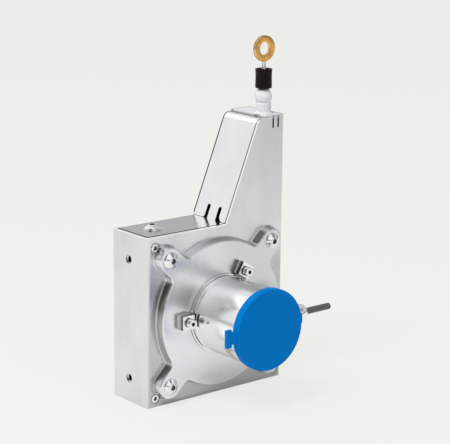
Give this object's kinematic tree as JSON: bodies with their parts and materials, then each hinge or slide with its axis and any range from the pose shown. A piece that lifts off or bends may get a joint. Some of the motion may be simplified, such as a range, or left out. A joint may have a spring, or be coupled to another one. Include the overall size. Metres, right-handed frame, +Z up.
{
  "type": "draw wire encoder",
  "caption": "Steel draw wire encoder with a flat square housing, a sloped outlet tower with white nozzle and ring end, and a round rotary encoder with blue cap.",
  "frame": {"origin": "centre of the housing's bottom face, at half its depth", "axes": "+Z up along the drawn wire, -Y the front with the encoder, +X the tower's side"},
  "size_m": [0.141, 0.1038, 0.2672],
  "materials": {
    "housing_sheet": "brushed",
    "polished_sheet": "polished",
    "screw_steel": "bright",
    "dark_screw_steel": "satin",
    "turned_steel": "turned",
    "bearing_steel": "ground",
    "spring_steel": "blued",
    "turned_aluminium": "turned",
    "cast_aluminium": "cast",
    "wire_steel": "stranded",
    "nickel": "nickel plated",
    "brass": "turned",
    "cap_blue": "semi-gloss",
    "white_plastic": "smooth",
    "black_rubber": "satin",
    "cable_sheath": "satin",
    "ceramic": "polished",
    "felt": "felt",
    "disc_glass": "clear",
    "board_green": "lacquered",
    "sensor_black": "moulded"
  },
  "bodies": {
    "housing": {"front_cover": "housing_sheet", "back_cover": "housing_sheet", "tower_cover": "polished_sheet", "cover_screws": "screw_steel", "corner_screws": "dark_screw_steel", "corner_standoffs": "turned_steel", "corner_posts": "turned_steel", "rear_screws": "screw_steel", "side_inserts": "turned_steel", "top_washer": "screw_steel", "top_screw": "screw_steel", "top_nut": "turned_steel", "bearing_spider": "cast_aluminium", "bearing_outer_rings": "bearing_steel", "spring_case": "turned_steel", "spiral_spring": "spring_steel", "encoder_flange": "turned_aluminium", "encoder_body": "turned_aluminium", "encoder_cap": "cap_blue", "servo_clamps": "turned_aluminium", "clamp_screws": "screw_steel", "encoder_bearing_outer_rings": "bearing_steel", "circuit_board": "board_green", "board_posts": "brass", "read_head": "sensor_black", "gland_body": "nickel", "gland_nut": "nickel", "gland_seal": "black_rubber", "cable": "cable_sheath", "wire_nozzle": "white_plastic", "wire_guide": "ceramic", "wire_wiper": "felt"},
    "drum": {"drum": "turned_aluminium", "wound_wire": "wire_steel", "drum_shaft": "turned_steel", "bearing_inner_rings": "bearing_steel", "spring_arbor": "turned_steel", "encoder_shaft": "turned_steel", "encoder_bearing_inner_rings": "bearing_steel", "disc_hub": "turned_aluminium", "code_disc": "disc_glass"},
    "wire_end": {"wire_stopper": "black_rubber", "measuring_wire": "wire_steel", "crimp_sleeve": "wire_steel", "ring_terminal": "brass", "wire_loop": "wire_steel"}
  },
  "joints": [
    {"name": "drum_spin", "type": "hinge", "parent": "housing", "child": "drum", "pos_m": [0, 0, 0.0642], "axis": [0, -1, 0], "range_deg": [0, 5400], "stiffness_Nm_per_rad": 0.0031, "springref_deg": -6394.21},
    {"name": "wire_pull", "type": "slide", "parent": "housing", "child": "wire_end", "axis": [0, 0, 1], "range_m": [0, 5], "deforming": ["measuring_wire"]}
  ],
  "couplings": [
    {"joint": "wire_pull", "follows": "drum_spin", "m_per_rad": 0.05305}
  ]
}
